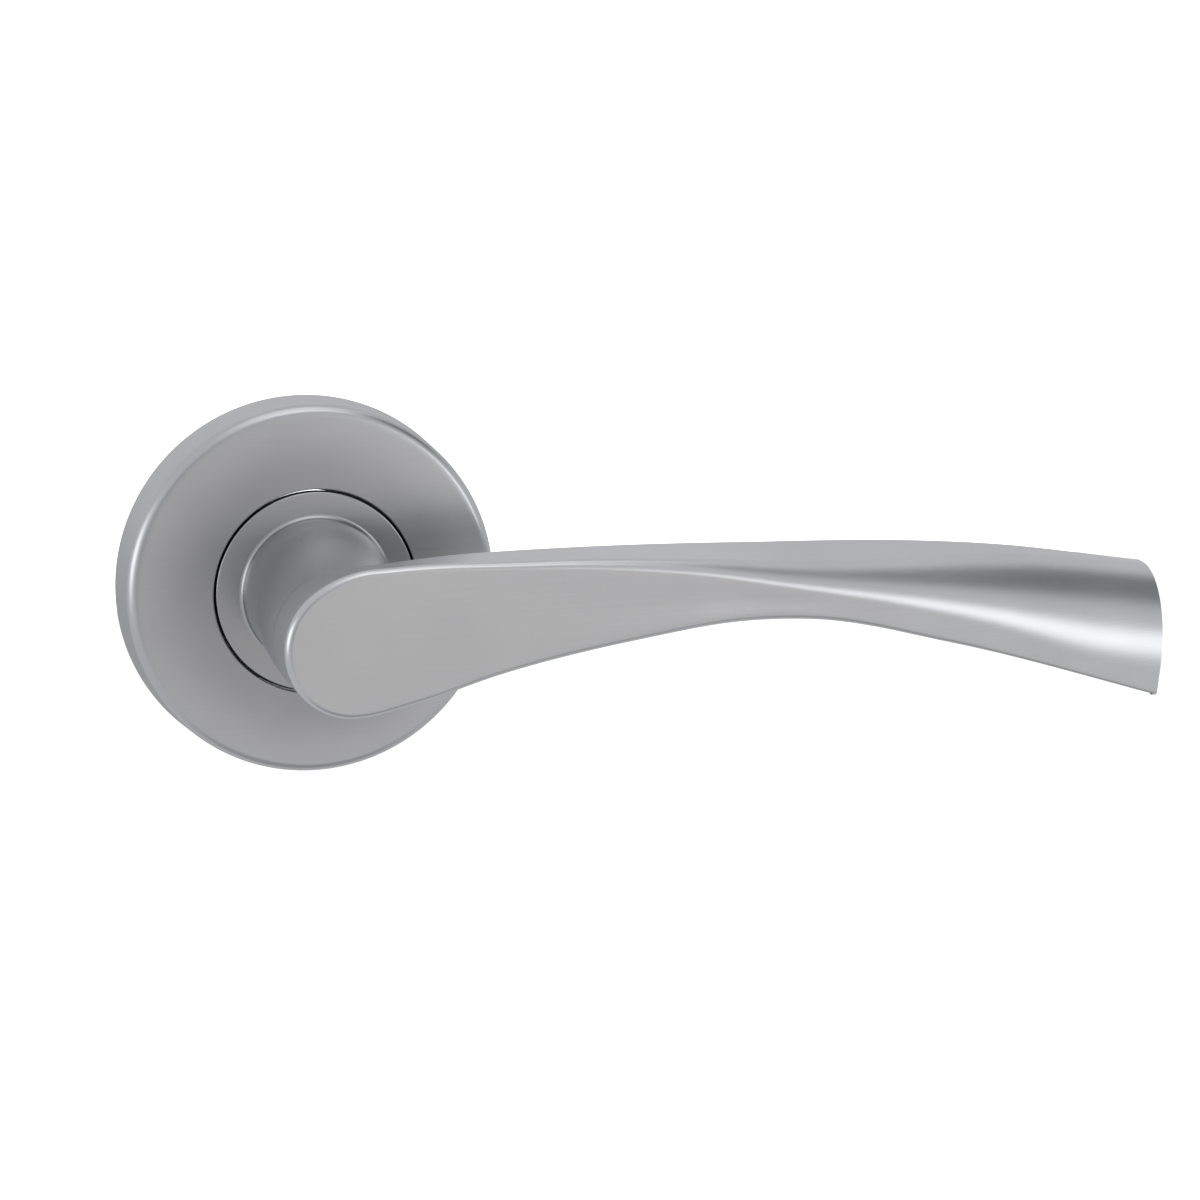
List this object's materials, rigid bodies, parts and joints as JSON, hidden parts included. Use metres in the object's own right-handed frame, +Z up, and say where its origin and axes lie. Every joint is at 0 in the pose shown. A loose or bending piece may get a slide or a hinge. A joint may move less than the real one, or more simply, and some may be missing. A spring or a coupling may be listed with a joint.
{
  "type": "lever door handle on round rose",
  "caption": "Satin steel lever handle on a round rose: sprung lever, square spindle, inner plate with screws and posts, and a clipped cover.",
  "frame": {"origin": "on the spindle's axis, in the plane of the rose's back, which is the door's face", "axes": "+Y along the spindle into the door, -Y towards the user, +X along the lever, +Z up"},
  "size_m": [0.1409, 0.082, 0.053],
  "materials": {
    "satin_steel": "satin brushed stainless steel",
    "rose_steel": "satin brushed stainless steel sheet",
    "zinc_plated_steel": "bright zinc plating",
    "bright_steel": "turned bright steel",
    "black_steel": "black oxide",
    "spring_steel": "oiled spring steel",
    "cast_zinc": null,
    "nylon": "natural nylon"
  },
  "bodies": {
    "base": {"base_plate": "cast_zinc", "bearing_bush": "nylon", "return_spring": "spring_steel", "mounting_post_upper": "zinc_plated_steel", "mounting_post_lower": "zinc_plated_steel", "wood_screw_upper_left": "zinc_plated_steel", "wood_screw_upper_right": "zinc_plated_steel", "wood_screw_lower_left": "zinc_plated_steel", "wood_screw_lower_right": "zinc_plated_steel", "cover_snap_ring": "spring_steel"},
    "lever": {"lever_handle": "satin_steel", "spindle": "zinc_plated_steel", "spindle_grub_screw": "black_steel", "stop_pin_upper": "bright_steel", "stop_pin_lower": "bright_steel", "circlip": "spring_steel", "thrust_washer": "bright_steel"},
    "cover": {"rose_cover": "rose_steel"}
  },
  "joints": [
    {"name": "lever_turn", "type": "hinge", "parent": "base", "child": "lever", "pos_m": [0, 0, 0], "axis": [0, 1, 0], "range_deg": [0, 50], "stiffness_Nm_per_rad": 0.7, "springref_deg": -49.27, "deforming": ["return_spring"]},
    {"name": "cover_slide", "type": "slide", "parent": "base", "child": "cover", "axis": [0, -1, 0], "range_m": [0, 0.018]}
  ]
}
